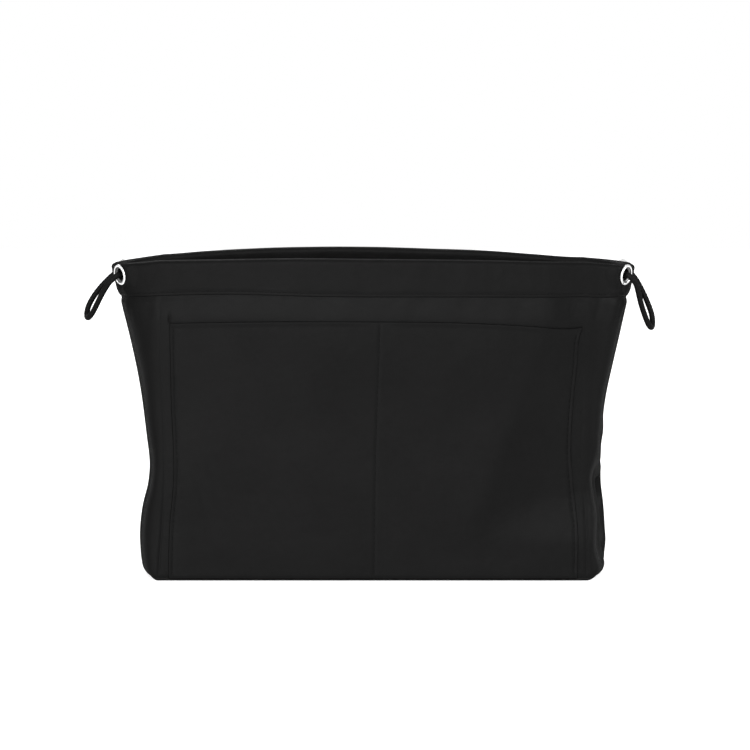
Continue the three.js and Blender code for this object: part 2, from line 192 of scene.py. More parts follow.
def through(pairs, at):
    """A smooth curve through [at, value] pairs."""
    knots, values = np.array(pairs, float).T
    slopes = np.gradient(values, knots)
    at = np.clip(at, knots[0], knots[-1])
    i = np.clip(np.searchsorted(knots, at, side="right") - 1, 0, len(knots) - 2)
    span = knots[i + 1] - knots[i]
    t = (at - knots[i]) / span
    rise = values[i] * (2 * t**3 - 3 * t**2 + 1) + values[i + 1] * (3 * t**2 - 2 * t**3)
    return rise + span * (slopes[i] * (t**3 - 2 * t**2 + t) + slopes[i + 1] * (t**3 - t**2))


def ripple(t, pitch, seed):
    """A wandering wave of about unit height, with folds about a pitch apart."""
    rng = np.random.default_rng(seed)
    lengths = (pitch * stretch for stretch in (0.61, 0.83, 1.19, 1.63))
    return sum(np.sin(2 * np.pi * t / length + rng.uniform(0, 2 * np.pi)) for length in lengths) / 2.4


def wander(a, b, pitch, seed):
    """The same over a surface, with folds in all directions."""
    rng = np.random.default_rng(seed)
    total = 0.0
    for _ in range(7):
        heading = rng.uniform(0, np.pi)
        stretch = rng.uniform(0.7, 1.5)
        along = a * np.cos(heading) + b * np.sin(heading)
        total = total + np.sin(2 * np.pi * along / (pitch * stretch) + rng.uniform(0, 2 * np.pi))
    return total / 3.0


# How much lower the band's rim hangs than an even one, as [x, drop] pairs
RIM_DROP = {
    FRONT: [[-124, 0.2], [-80, 0.3], [-36, 0.2], [0, 0.6], [60, 1.0], [104, 1.3], [124, 0.9]],
    REAR: [
        [-124, 1.1], [-106, 1.5], [-85, 0.6], [-55, -0.2], [-27, -0.4], [0, -0.1], [30, 0.6], [55, 1.0],
        [80, 2.2], [104, 3.0], [124, 1.4],
    ],
}
RIM_EASE = 0.4  # how far the cloth's rim lies below the frame's


def rim_drop(side, x):
    return through(RIM_DROP[side], x)


# Heights of the rim and of the band's foot, along a wall and round a nose
def wall_rim(x):
    return RIM_HEIGHT - RIM_EASE - RIM_DROP_TO_SEAM * (x / SEAM_X) ** 2


def foot_rise(side, x):
    """The sewn foot of the band isn't quite level at the front."""
    return 1.4 * hill(x + 76, 36) if side == FRONT else 0.0 * x


def band_foot(side, x):
    return BAND_FOOT - (RIM_DROP_TO_SEAM - BAND_LOSS_TO_SEAM) * (x / SEAM_X) ** 2 + foot_rise(side, x)


def nose_rim(angle):
    return wall_rim(SEAM_X) - RIM_DROP_TO_NOSE * np.cos(angle)


def nose_band_foot(end, side, angle):
    drop = (RIM_DROP_TO_NOSE - BAND_LOSS_TO_NOSE) * np.cos(angle)
    return band_foot(REAR, SEAM_X) - drop + foot_rise(side, end * SEAM_X) * np.sin(angle)


# Half the pouch's depth at a height, at the upright seams and in the middle
def seam_depth(z):
    return lerp(BASE_HALF_DEPTH, RIM_HALF_DEPTH_SEAM, z / RIM_HEIGHT)


def middle_depth(z):
    return lerp(BASE_HALF_DEPTH, RIM_HALF_DEPTH_MIDDLE, z / RIM_HEIGHT)


DRAWN_FROM = 40.0  # the walls shift sideways from this far out on


def drawn_in(x, z):
    """How far the seams, drawn in at the waist, shift a point of a wall sideways."""
    pull = np.where(x < 0, SEAM_X - through(SEAM[LEFT], z), through(SEAM[RIGHT], z) - SEAM_X)
    return pull * smooth(np.abs(x) - DRAWN_FROM, SEAM_X - DRAWN_FROM)


def pocket_edge(end, z):
    """A pocket's sewn outer edge, before the wall is drawn in."""
    wanted = through(POCKET_EDGE[end], z)
    return wanted - drawn_in(wanted, z)


# Soft relief of the walls, out from their even surface
FLANK_TOP_X = 82.0  # where the front starts to fall back at the right, at the pocket's top
FLANK_LEAN = 0.36  # how far that line moves in for each millimetre further down
FLANK_SLOPE = 0.28  # how steeply it falls back from there on
FLANK_TURN = 14.0  # width over which it turns
FLANK_MOST = 6.0  # it never falls back further
FLANK_FOOT = (18.0, 44.0)  # the heights between which the fall begins
FLANK_SEAM = (97.0, 9.0)  # from here on it levels out towards the seam, over this width


def flank(x, z):
    """The front falls back towards its right-hand seam, past a slanting line."""
    level_from, width = FLANK_SEAM
    t = np.clip(x - level_from, 0, width)
    x = np.minimum(x, level_from) + t - t**2 / (2 * width)
    past = x - (FLANK_TOP_X - FLANK_LEAN * np.clip(POCKET_TOP - z, 0, None))
    t = np.clip(past / FLANK_TURN, 0, 1)
    turned = FLANK_TURN * (t**3 - t**4 / 2) + np.clip(past - FLANK_TURN, 0, None)
    fall = FLANK_MOST * np.tanh(FLANK_SLOPE * turned / FLANK_MOST)
    foot, full = FLANK_FOOT
    tall = smooth(z - foot, full - foot) * (1 - 0.3 * smooth(z - 124, 40))
    shoulder = 1.1 * smooth(x - 8, 54) * smooth(z - 10, 34) * (1 - 0.6 * smooth(z - 112, 30))
    return shoulder - fall * tall


def under_band(side, x, z):
    """Puckers just under the band, and the swell of the wall below it."""
    down = band_foot(side, x) - z
    pucker = 0.24 * ripple(x + 0.25 * down, 21, 11 + side) * fade(down, 8.5)
    fine = 0.06 * ripple(x, 6.5, 21 + side) * fade(down, 4)
    swell = 1.7 * smooth(down, 12) * (1 - smooth(down - 14, 55))
    tight = 0.25 + 0.35 * smooth(np.abs(x) - 70, 30)
    return (pucker + fine) * smooth(down, 3.5) + swell - tight * hill(down - 0.3, 1.3)


SEWN_PUCKER_PITCH = 2.6
SEWN_PUCKERS = {LEFT: (16, 66), RIGHT: (20, 60)}  # the heights between which they lie


def sewn_puckers(x, z):
    """Small level puckers where the pockets' outer edges are sewn down."""
    total = 0.0
    for end, (start, stop) in SEWN_PUCKERS.items():
        away = x - pocket_edge(end, z) + 1.5 * end
        where = 0.2 + smooth(z - start, 8) * smooth(stop - z, 8)
        drift = z + 0.12 * x + 0.5 * ripple(z, 11, 35 + end)
        uneven = 0.6 + 0.4 * ripple(z, 8, 31 + end)
        wave = np.sin(2 * np.pi * drift / SEWN_PUCKER_PITCH)
        total = total + 0.2 * where * uneven * wave * hill(away, 4.2)
    return total


TACK_X = -101.2  # the row of stitches that runs on over the pocket's top left corner
TACK_FOOT, TACK_TOP = 127.0, 134.0


def front_relief(x, z):
    """With slanting folds and some slack cloth at the lower left, and the tack's row sunk in."""
    soft = 0.32 * wander(x, z * 1.3, 74, 41) * smooth(z, 25)
    folds = 0.3 * np.sin(2 * np.pi * (x + 0.4 * z) / 9.5) * hill(x + 86, 9) * hill(z - 45, 19)
    slack = 0.5 * hill(x + 88, 22) * hill(z - 48, 26)
    tack = -0.6 * hill(x - TACK_X, 0.5) * smooth(z - TACK_FOOT, 1.5) * smooth(TACK_TOP - z, 1.2)
    return flank(x, z) + under_band(FRONT, x, z) + sewn_puckers(x, z) + soft + folds + slack + tack


def rear_relief(x, z):
    """With one long crease."""
    soft = 0.7 * wander(x, z * 1.2, 82, 43) * smooth(z, 25)
    crease = -1.0 * hill(x + 0.35 * (z - 70) - 30, 16) * smooth(z, 30) * smooth(140 - z, 40)
    return under_band(REAR, x, z) + soft + crease


def foot_tuck(z):
    """The cloths roll in to the seam where the walls are sewn to the base."""
    return -0.5 * hill(z - WALL_FOOT, 0.75)


def wall_relief(side, x, z):
    edges = smooth(z - WALL_FOOT, 10)
    return (front_relief(x, z) if side == FRONT else rear_relief(x, z)) * edges + foot_tuck(z)


def seam_groove(end, away, z):
    """The upright seams sink in, most near the base, where the corner is pulled square."""
    faint, full = (0.2, 0.2) if end == LEFT else (0.04, 0.42)
    depth = faint + full * smooth(44 - z, 16)
    return -depth * hill(away, 0.75) * smooth(z, 5) * smooth(BAND_FOOT - z, 12)


def wall_point(side, x, z, outward):
    """A point of the front or rear wall, a distance out from its face."""
    x, z = np.broadcast_arrays(x, z)
    placed = x + drawn_in(x, z)
    depth = lerp(middle_depth(z), seam_depth(z), (x / SEAM_X) ** 2)
    groove = np.where(x < 0, seam_groove(LEFT, SEAM_X + x, z), seam_groove(RIGHT, SEAM_X - x, z))
    relief = wall_relief(side, x, z) + groove
    return np.stack([placed, side * (depth + outward + relief), z], axis=-1)


# Fold in the right-hand end: its front half lies in, as [height, how far] pairs, under a slanting crease
FOLD_FRONT = [[0, 0.0], [4, 0.2], [9, 2.0], [15, 4.4], [18, 4.6], [30, 4.0], [40, 4.4], [80, 4.0]]
FOLD_TOP = 49.5  # where the crease passes the tip
FOLD_SLANT = 0.75  # how far it rises for each millimetre further forward
FOLD_DROP = 1.4  # how far it falls for each millimetre back to the fold's rear lip
FOLD_VALLEY = 2.0  # how much deeper the bottom of the fold is
PINCH_HEIGHT = 57.5  # where the cloth is pinched, above the crease


def fold_loss(across_y, z):
    """How much reach the right-hand end loses, at a distance towards the rear from its tip."""
    across_y = across_y - 0.11 * (z - 28) - 0.6 * ripple(z, 34, 71)
    forward = np.clip(-across_y - 3, 0, 27)
    back = np.clip(across_y + 3, 0, 9)
    crease = FOLD_TOP + FOLD_SLANT * forward - FOLD_DROP * back
    under_crease = smooth(crease - z, 5 + 0.55 * forward + 0.3 * back)
    lies_in = through(FOLD_FRONT, z) * under_crease
    front = lies_in * smooth(5.5 - across_y, 7)
    valley = FOLD_VALLEY * (lies_in / 4.6) ** 1.5 * smooth(FOLD_TOP - z, 14) * hill(across_y + 0.6, 3.2)
    crest = 0.9 * lies_in / 4 * hill(across_y + 9, 5)
    pinch = 1.4 * hill(z - PINCH_HEIGHT, 2.2) * hill(across_y + 4, 8)
    above = 0.8 * hill(z - PINCH_HEIGHT - 8 + 0.5 * across_y, 5) * hill(across_y + 14, 10)
    return front + valley + pinch - above - crest


NOTCH = 1.0  # how far the cloth is drawn in just under the band's ends
NOSE_RADIUS = 24.0  # of the round that stands in for an end where folds are spaced along its cloth
WEAVE_RADIUS = 26.0  # the same for its weave


def run_round(end, angle, radius):
    """The run of the cloth at an angle, from the middle of the walls on."""
    return end * (SEAM_X + radius * (np.pi / 2 - angle))


def nose_point(end, side, angle, z, outward):
    """A point of one half of an end. angle is 0 at the tip and a right angle at the seam."""
    angle, z = np.broadcast_arrays(angle, z)
    boxy = lerp(BOXY_AT_BASE, ROUND_AT_BAND, np.clip(z / BAND_FOOT, 0, 1))
    power = 2 / lerp(BOXY_AT_FLOOR, boxy, smooth(z, 9))
    towards_tip = np.clip(np.cos(angle), 0, 1) ** power
    towards_seam = np.clip(np.sin(angle), 0, 1) ** power
    start = through(SEAM[end], z)
    reach = SEAM_X + through(NOSE[end], z) - start + outward
    lean = 2 * (middle_depth(z) - seam_depth(z)) / SEAM_X
    along_seam = wall_relief(side, end * SEAM_X, z)
    run = run_round(end, angle, NOSE_RADIUS)
    down = nose_band_foot(end, side, angle) - z
    pucker = 0.42 * ripple(run + 0.3 * down, 12, 51 + side) * fade(down, 9)
    soft = 0.4 * wander(run, z, 46, 53 + side + 3 * end)
    own = (pucker * smooth(down, 3) + soft * smooth(down, 12)) * np.sin(2 * angle) * smooth(z, 12)
    own = own - NOTCH * hill(down - 0.6, 1.7) * smooth(1.5 - angle)
    relief = along_seam * towards_seam**3 + own
    across = reach * towards_tip
    depth = (seam_depth(z) + outward - lean * across + relief) * towards_seam
    if end == RIGHT:
        across = across - fold_loss(side * depth, z) * towards_tip
    across = across + (own + foot_tuck(z)) * towards_tip
    depth = depth + seam_groove(end, across, z) * towards_seam
    return np.stack([end * (start + across), side * depth, z], axis=-1)


# Places of the eyelets, read from their washers in the frame
WASHER_INSET = 1.45  # from the band's outer face in to the middle of a washer


class Seat:
    """The middle of an eyelet on the band's outer face, with its outward and sideways directions."""

    def __init__(self, end, side, washer):
        points = np.array([v.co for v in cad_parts[washer].data.vertices], float) / MM
        middle = points.mean(axis=0)
        normal = np.linalg.svd(points - middle, full_matrices=False)[2][2]
        self.outward = normal * math.copysign(1.0, normal[0] * end)
        self.centre = middle + self.outward * WASHER_INSET
        self.along = unit(np.array([-self.outward[1] * end, self.outward[0] * end, 0.0])) * side


SEATS = {(end, side): Seat(end, side, corner + "_eyelet_washer") for corner, end, side in CORNERS}


def flattened(points, seat, level):
    """Points of the band's outer cloth near an eyelet, drawn to a flat disc under its flange."""
    away = points - seat.centre
    height = away @ seat.outward
    radius = np.linalg.norm(away - height[..., None] * seat.outward, axis=-1)
    share = 1 - smooth(radius - FLANGE - 1.2, 4.5)
    pucker = 0.22 * np.sin(7 * np.arctan2(away @ seat.along, away[..., 2])) * hill(radius - 8, 2.2)
    change = (level - height) * share + pucker
    return points + change[..., None] * seat.outward


# Meshes
def add_object(name, data):
    made = bpy.data.objects.new(name, data)
    bpy.context.scene.collection.objects.link(made)
    return made


SHARP = math.radians(48)  # edges that turn more than this look sharp


def new_object(name, points, faces, material, uv=None):
    """An object from points in millimetres, with the cloth's run at each point as its weave."""
    mesh = bpy.data.meshes.new(name)
    mesh.from_pydata((points.reshape(-1, 3) * MM).tolist(), [], [list(face) for face in faces])
    mesh.materials.append(material)
    if uv is not None:
        corners = np.zeros(len(mesh.loops), np.int32)
        mesh.loops.foreach_get("vertex_index", corners)
        layer = mesh.uv_layers.new(name="weave")
        layer.data.foreach_set("uv", np.asarray(uv, np.float32).reshape(-1, 2)[corners].ravel())
    mesh.shade_smooth()
    mesh.set_sharp_from_angle(angle=SHARP)
    mesh.update()
    return add_object(name, mesh)


def sheet_faces(rows, columns, wrapped):
    """Faces of a closed sheet: an outer grid of points, then an inner one, joined along their edges."""
    outer = np.arange(rows * columns).reshape(rows, columns)
    inner = outer + rows * columns
    if wrapped:
        outer, inner = (np.concatenate([layer, layer[:1]]) for layer in (outer, inner))
    corners = [
        (outer[:-1, :-1], outer[:-1, 1:], outer[1:, 1:], outer[1:, :-1]),
        (inner[:-1, :-1], inner[1:, :-1], inner[1:, 1:], inner[:-1, 1:]),
        (outer[:-1, 0], outer[1:, 0], inner[1:, 0], inner[:-1, 0]),
        (outer[:-1, -1], inner[:-1, -1], inner[1:, -1], outer[1:, -1]),
    ]
    if not wrapped:
        corners.append((outer[0, :-1], inner[0, :-1], inner[0, 1:], outer[0, 1:]))
        corners.append((outer[-1, :-1], outer[-1, 1:], inner[-1, 1:], inner[-1, :-1]))
    return np.concatenate([np.stack(four, -1).reshape(-1, 4) for four in corners])


def ring_faces(rings, count, closed=False):
    """Faces between rings of points, and from the last ring to the first where closed."""
    here = np.arange(rings * count).reshape(rings, count)
    after = np.roll(here, -1, axis=1)
    faces = np.stack([here, after, np.roll(after, -1, axis=0), np.roll(here, -1, axis=0)], -1)
    return (faces if closed else faces[:-1]).reshape(-1, 4)


def capped_faces(rings, count):
    """Faces of a solid made of rings of points, closed at its first and last ring."""
    first = list(range(count))
    last = [(rings - 1) * count + k for k in first]
    return [*ring_faces(rings, count).tolist(), first[::-1], last]


def outward_facing(points, faces):
    corners = points[faces[:, :3]]
    volume = np.einsum("ij,ij->i", corners[:, 0], np.cross(corners[:, 1], corners[:, 2])).sum()
    return faces if volume > 0 else faces[:, ::-1]


def sheet(name, outer, inner, uv, material, wrapped=False):
    """A closed cloth from two grids of points, its outer face and its inner one."""
    rows, columns = outer.shape[:2]
    points = np.stack([outer, inner]).reshape(-1, 3)
    faces = outward_facing(points, sheet_faces(rows, columns, wrapped))
    return new_object(name, points, faces, material, np.stack([uv, uv]))


# Materials
def new_material(name):
    """A material, its node tree and the shader of its surface."""
    material = bpy.data.materials.new(name)
    material.use_nodes = True
    tree = material.node_tree
    return material, tree, tree.nodes["Principled BSDF"]


def feed(tree, node, inputs):
    """Sets inputs to plain values, or links other nodes' outputs to them."""
    for name, value in inputs.items():
        if isinstance(value, bpy.types.NodeSocket):
            tree.links.new(value, node.inputs[name])
        else:
            node.inputs[name].default_value = value


def new_node(tree, kind, inputs):
    node = tree.nodes.new("ShaderNode" + kind)
    feed(tree, node, inputs)
    return node


def math_node(tree, operation, *values):
    node = new_node(tree, "Math", dict(enumerate(values)))
    node.operation = operation
    return node.outputs[0]


def noise_node(tree, scale, detail, roughness):
    """Noise that stays in place on its object. The scale is per metre."""
    place = new_node(tree, "TexCoord", {}).outputs["Object"]
    inputs = {"Vector": place, "Scale": scale, "Detail": detail, "Roughness": roughness}
    return new_node(tree, "TexNoise", inputs).outputs["Fac"]


def ramp_node(tree, value, *stops):
    """Two stops, each a place and a grey."""
    node = new_node(tree, "ValToRGB", {"Fac": value})
    for element, (at, grey) in zip(node.color_ramp.elements, stops):
        element.position = at
        element.color = (grey, grey, grey, 1)
    return node.outputs["Color"]


def bump_node(tree, height, distance, strength, **under):
    inputs = {"Height": height, "Distance": distance, "Strength": strength, **under}
    return new_node(tree, "Bump", inputs).outputs["Normal"]


# Black yarn: nearly half of its shine has its own colour, and it doesn't brighten seen at a low angle
YARN_SHINE = {"Metallic": 0.46, "Specular Tint": (0.03, 0.03, 0.03, 1), "Specular IOR Level": 0.02}


def woven(name, dark, light, roughness, pitch, weave_strength):
    """Fine satin cloth: a twill of single threads, soft crumple and uneven dye."""
    material, tree, surface = new_material(name)
    threads = new_node(tree, "UVMap", {})
    threads.uv_map = "weave"
    across, up, _ = new_node(tree, "SeparateXYZ", {0: threads.outputs["UV"]}).outputs

    def wave(along, length):
        return math_node(tree, "SINE", math_node(tree, "MULTIPLY", along, 2 * math.pi / length))

    crossing = math_node(tree, "ADD", wave(across, pitch), wave(up, pitch / 1.25))
    twill = wave(math_node(tree, "ADD", across, up), pitch * 2.5)
    weave = math_node(tree, "ADD", crossing, twill)
    crumple = bump_node(tree, noise_node(tree, 150, 4.0, 0.55), 0.0007, 0.35)
    dye = noise_node(tree, 38, 5.0, 0.6)
    worn = math_node(tree, "MULTIPLY_ADD", noise_node(tree, 260, 3.0, 0.6), 0.12, roughness - 0.06)
    glance = new_node(tree, "LayerWeight", {"Blend": 0.5}).outputs["Facing"]
    matt = ramp_node(tree, glance, (0.5, 0), (1.0, 1))
    feed(tree, surface, {
        "Base Color": ramp_node(tree, dye, (0.3, dark), (0.72, light)),
        "Roughness": math_node(tree, "MAXIMUM", worn, matt),
        "Normal": bump_node(tree, weave, 0.00003, weave_strength, Normal=crumple),
        **YARN_SHINE,
    })
    return material


def metal(name, dull, bright, smoothest):
    """Polished nickel with faint turning marks and a little tarnish."""
    material, tree, surface = new_material(name)
    tarnish = noise_node(tree, 420, 4.0, 0.6)
    feed(tree, surface, {
        "Base Color": ramp_node(tree, tarnish, (0.35, dull), (0.6, bright)),
        "Roughness": math_node(tree, "MULTIPLY_ADD", tarnish, 0.16, smoothest),
        "Normal": bump_node(tree, noise_node(tree, 2600, 2.0, 0.5), 0.00002, 0.25),
        "Metallic": 1.0,
    })
    return material


def grained(name, grain, dark, light, depth, roughness, shine):
    """A plain material with a grain: its noise's scale, detail and roughness. depth is in metres."""
    material, tree, surface = new_material(name)
    grain = noise_node(tree, *grain)
    feed(tree, surface, {
        "Base Color": ramp_node(tree, grain, (0.3, dark), (0.7, light)),
        "Roughness": roughness,
        "Normal": bump_node(tree, grain, depth, 0.5),
        **shine,
    })
    return material


SHELL_CLOTH, CASING_CLOTH, POCKET_CLOTH = (
    woven(name, 0.0106, 0.0118, 0.31, 0.32, 0.3) for name in ("shell_cloth", "casing_cloth", "pocket_cloth")
)
LINING_CLOTH = woven("lining_cloth", 0.0104, 0.012, 0.42, 0.45, 0.35)
NICKEL = metal("nickel", 0.6, 0.84, 0.12)
# A much darker copy of the nickel for the eyelets' throats and undersides: painted shade inside the holes
SHADED_THROAT_NICKEL = metal("painted_shade_nickel", 0.07, 0.17, 0.28)
ELASTIC = grained("braided_elastic", (3200, 3.0, 0.6), 0.007, 0.016, 0.00008, 0.45, YARN_SHINE)
BOARD = grained("board", (900, 4.0, 0.6), 0.02, 0.034, 0.00006, 0.75, {})
THREAD = grained("thread", (5200, 2.0, 0.5), 0.006, 0.012, 0.00004, 0.5, YARN_SHINE)


def wall_body(side):
    return "front_wall" if side == FRONT else "rear_wall"


def follow_corner(obj):
    """Cloth round an end, with its placement baked into its points."""
    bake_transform(obj)


def direction(azimuth, elevation):
    """The direction from the pouch at angles in degrees. Azimuth 0 is the front, 90 the right."""
    turn, rise = math.radians(azimuth), math.radians(elevation)
    return Vector((math.sin(turn) * math.cos(rise), -math.cos(turn) * math.cos(rise), math.sin(rise)))


# Camera, with the photograph's long lens, a little above the pouch
CAMERA_DISTANCE = 2000.0
CAMERA_AWAY = direction(0, 7.6)
CAMERA_AIM = Vector((1.0, 0.0, 98.9))
FRAME_WIDTH = 377.8  # what the picture spans at the middle of the pouch
SENSOR = 36.0
lens = bpy.data.cameras.new("camera")
lens.sensor_width = SENSOR
lens.lens = SENSOR * CAMERA_DISTANCE / FRAME_WIDTH
lens.clip_end = 20
camera = add_object("camera", lens)
camera.location = (CAMERA_AIM + CAMERA_AWAY * CAMERA_DISTANCE) * MM
camera.rotation_euler = CAMERA_AWAY.to_track_quat("Z", "Y").to_euler()
bpy.context.scene.camera = camera

# Drawcord
CORD_DIAMETER = 2.8
LOOP_START = 0.7  # where a loop takes over, out from an eyelet's seat
LOOP_LEAD = 1.1  # how far it then runs straight out
BRAID_LAY = 2.1  # along the cord, for one turn of a strand
BRAID_STRANDS = 5
# The points that a loop hangs through, front to rear, written for the right-hand side
LOOP_ROUTES = {
    LEFT: [
        (128.9, -14.8, 149.8), (131.2, -14.8, 147.7), (133.2, -13.6, 144.9), (135.1, -11.8, 141.7),
        (136.9, -9.8, 138.3), (138.6, -7.8, 134.9), (140.3, -5.6, 131.7), (141.9, -3.1, 129.3),
        (143.2, -0.1, 128.0), (144.0, 3.0, 128.2), (144.2, 5.7, 130.0), (143.6, 7.8, 132.7),
        (142.2, 9.6, 135.7), (140.2, 11.4, 138.8), (137.8, 13.0, 141.8), (135.2, 14.2, 144.6),
        (132.6, 15.0, 147.1), (130.4, 15.1, 148.9), (128.6, 14.8, 150.1),
    ],
    RIGHT: [
        (129.0, -14.9, 149.5), (131.0, -15.0, 146.8), (132.1, -13.8, 143.5), (133.0, -12.2, 139.9),
        (134.1, -10.3, 135.9), (135.5, -8.2, 131.7), (137.0, -6.1, 127.8), (138.4, -3.7, 124.8),
        (139.7, -0.9, 123.2), (140.5, 2.1, 123.4), (140.9, 4.9, 125.5), (140.5, 7.0, 129.1),
        (139.1, 9.0, 133.3), (137.3, 11.0, 137.6), (135.2, 13.0, 141.9), (133.0, 14.6, 145.7),
        (130.8, 15.2, 148.4), (128.9, 15.0, 150.0),
    ],
}


def curve_through(points, step):
    """A smooth curve through points (centripetal Catmull-Rom), as points about a step apart."""
    p = np.array([2 * points[0] - points[1], *points, 2 * points[-1] - points[-2]])
    made = []
    for i in range(1, len(p) - 2):
        t = np.cumsum([0.0, *np.sqrt(np.linalg.norm(np.diff(p[i - 1 : i + 3], axis=0), axis=1))])
        count = max(2, round(float(np.linalg.norm(p[i + 1] - p[i])) / step))
        at = np.linspace(t[1], t[2], count, endpoint=False)[:, None]
        a = [lerp(p[i - 1 + k], p[i + k], (at - t[k]) / (t[k + 1] - t[k])) for k in range(3)]
        b = [lerp(a[k], a[k + 1], (at - t[k]) / (t[k + 2] - t[k])) for k in range(2)]
        made.append(lerp(b[0], b[1], (at - t[1]) / (t[2] - t[1])))
    return np.concatenate([*made, p[-2][None]])


def cord(name, path, sides, braided=False):
    """A round elastic along a path, closed at both ends, braided in its surface where asked."""
    tangent = unit(np.gradient(path, axis=0))
    across = [unit(np.cross(tangent[0], (0.0, 0.0, 1.0)))]
    for heading in tangent[1:]:
        across.append(unit(across[-1] - heading * (across[-1] @ heading)))
    radius = np.full((len(path), sides), CORD_DIAMETER / 2)
    if braided:
        turn = 2 * np.pi * np.arange(sides) / sides
        lay = 2 * np.pi * run_along(path)[:, None] / BRAID_LAY
        strands = np.maximum(np.sin(BRAID_STRANDS * turn + lay), np.sin(BRAID_STRANDS * turn - lay))
        radius = radius + 0.075 * (strands - 0.55)
    across = np.array(across)
    points = path[:, None] + circles(across, np.cross(tangent, across), sides) * radius[..., None]
    return new_object(name, points, capped_faces(len(path), sides), ELASTIC)


def add_loop(end_name, end):
    front, rear = SEATS[end, FRONT], SEATS[end, REAR]
    first, last = (seat.centre + seat.outward * LOOP_START for seat in (front, rear))
    middle = np.array(LOOP_ROUTES[end]) * (end, 1, 1)
    lead_out, lead_in = first + front.outward * LOOP_LEAD, last + rear.outward * LOOP_LEAD
    path = curve_through([first, lead_out, *middle, lead_in, last], step=0.25)
    loop = cord(end_name + "_loop", path, sides=30, braided=True)
    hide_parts(*(f"{end_name}_loop_{part}" for part in ("front_strand", "tip", "rear_strand")))
    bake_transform(loop)


for end_name, end in ENDS.items():
    add_loop(end_name, end)

CORD_LEVEL = 151.2  # height of its runs in the band
CORD_INSET = 2.9  # from the panel's face in to the middle of the cord
CORD_DIP = 0.65  # how much deeper it runs behind an eyelet
CORD_BEND = 2.2  # radius of its turn there
CORD_TURN_ANGLE = 58  # degrees from the tip, where it leaves the band's line
CORD_STOP = 0.62  # how far past the fabric the fixed part of the cord reaches inside an eyelet


def add_cord_end(corner, end, side):
    seat = SEATS[end, side]
    top = CORD_BEND - (CORD_INSET + CASING_PROUD + CORD_DIP)
    points = []
    for share in np.linspace(0, 1, 5):
        angle = math.radians(lerp(90, CORD_TURN_ANGLE, share))
        points.append(nose_point(end, side, angle, CORD_LEVEL, -(CORD_INSET + CORD_DIP * share)))
    for turn in np.radians(np.linspace(90, 0, 5)):
        level = CORD_BEND * (1 - math.cos(turn))
        points.append(seat.centre + seat.outward * (top - CORD_BEND * math.sin(turn)) + seat.along * level)
    points.append(seat.centre + seat.outward * CORD_STOP)
    path = curve_through(points, step=0.4)
    made = cord(corner + "_cord_end", path, sides=20, braided=True)
    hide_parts(corner + "_drawcord_end")
    follow_corner(made)


for side_name, side in SIDES.items():
    path = wall_point(side, np.linspace(-SEAM_X, SEAM_X, 160), CORD_LEVEL, -CORD_INSET)
    run = cord(side_name + "_cord_run", path, sides=16)
    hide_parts(side_name + "_drawcord")
    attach(run, wall_body(side))
for corner, end, side in CORNERS:
    add_cord_end(corner, end, side)


# Stitches: each is a short arched thread that dips into the cloth at both ends
STITCH_PITCH = 2.9
STITCH_LENGTH = 2.45
STITCH_THICK = 0.42


def stitches(name, rows):
    """Rows of stitches as one object. A row is its path and the cloth's outward direction along it."""
    shares = np.array([0.0, 0.12, 0.35, 0.65, 0.88, 1.0])
    arch = np.sin(np.pi * shares)
    sides = 6
    stitch_faces = capped_faces(len(shares), sides)
    points, faces = [], []
    for path, outward in rows:
        run = run_along(path)
        starts = np.arange(0.4, run[-1] - STITCH_LENGTH, STITCH_PITCH)
        at = starts[:, None] + shares[None] * STITCH_LENGTH
        middle = np.stack([np.interp(at, run, values) for values in path.T], -1)
        up = unit(np.stack([np.interp(at, run, values) for values in outward.T], -1))
        aside = unit(np.cross(np.gradient(middle, axis=1), up))
        middle = middle + up * (0.16 * arch - 0.12)[None, :, None]
        radius = STITCH_THICK / 2 * (0.35 + 0.65 * arch**0.5)
        rings = middle[:, :, None] + circles(up, aside, sides) * radius[:, None, None]
        for one in rings:
            first = len(points)
            points.extend(one.reshape(-1, 3))
            faces.extend([first + corner for corner in face] for face in stitch_faces)
    return new_object(name, np.array(points), faces, THREAD)


def row_on(place, values):
    """A row of stitches on a surface: place(value, outward) gives its points."""
    path = place(values, 0.0)
    return path, place(values, 1.0) - path


# Walls, ends and base
WALL_STEP = 1.1
WALL_X = lerp(-SEAM_X, SEAM_X, spread(int(2 * SEAM_X / WALL_STEP)))
NOSE_ANGLES = spread(56) * np.pi / 2
SHARES_UP = np.linspace(0, 1, int(BAND_FOOT / WALL_STEP))
# A wall's two layers of cloth, each as its foot's height, its outer and inner face, material and slot
SHELL_LAYER = (WALL_FOOT, PANEL, SHELL_CLOTH, "shell_fabric")
LINING_LAYER = (WALL_FOOT + PANEL_GAP, LINING, LINING_CLOTH, "lining_fabric")


def wall_sheet(name, side, layer, replaced):
    foot, faces, material, slot = layer
    gx, gs = np.meshgrid(WALL_X, SHARES_UP)
    z = lerp(foot, band_foot(side, gx) - SLIT, gs)
    outer, inner = (wall_point(side, gx, z, face) for face in faces)
    made = sheet(name, outer, inner, np.stack([gx, z], -1), material)
    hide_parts(replaced)
    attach(made, wall_body(side))


def nose_sheet(name, end, side, layer, replaced):
    foot, faces, material, slot = layer
    ga, gs = np.meshgrid(NOSE_ANGLES, SHARES_UP)
    z = lerp(foot, nose_band_foot(end, side, ga) - SLIT, gs)
    outer, inner = (nose_point(end, side, ga, z, face) for face in faces)
    uv = np.stack([run_round(end, ga, WEAVE_RADIUS), z], -1)
    made = sheet(name, outer, inner, uv, material)
    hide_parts(replaced)
    follow_corner(made)


for side_name, side in SIDES.items():
    wall_sheet(side_name + "_shell", side, SHELL_LAYER, side_name + "_panel")
    wall_sheet(side_name + "_lining_cloth", side, LINING_LAYER, side_name + "_lining")
    for end_name, end in ENDS.items():
        gusset = f"{side_name}_{end_name}_gusset"
        nose_sheet(gusset + "_cloth", end, side, SHELL_LAYER, end_name + "_gusset")
        nose_sheet(gusset + "_lining_cloth", end, side, LINING_LAYER, end_name + "_gusset_lining")


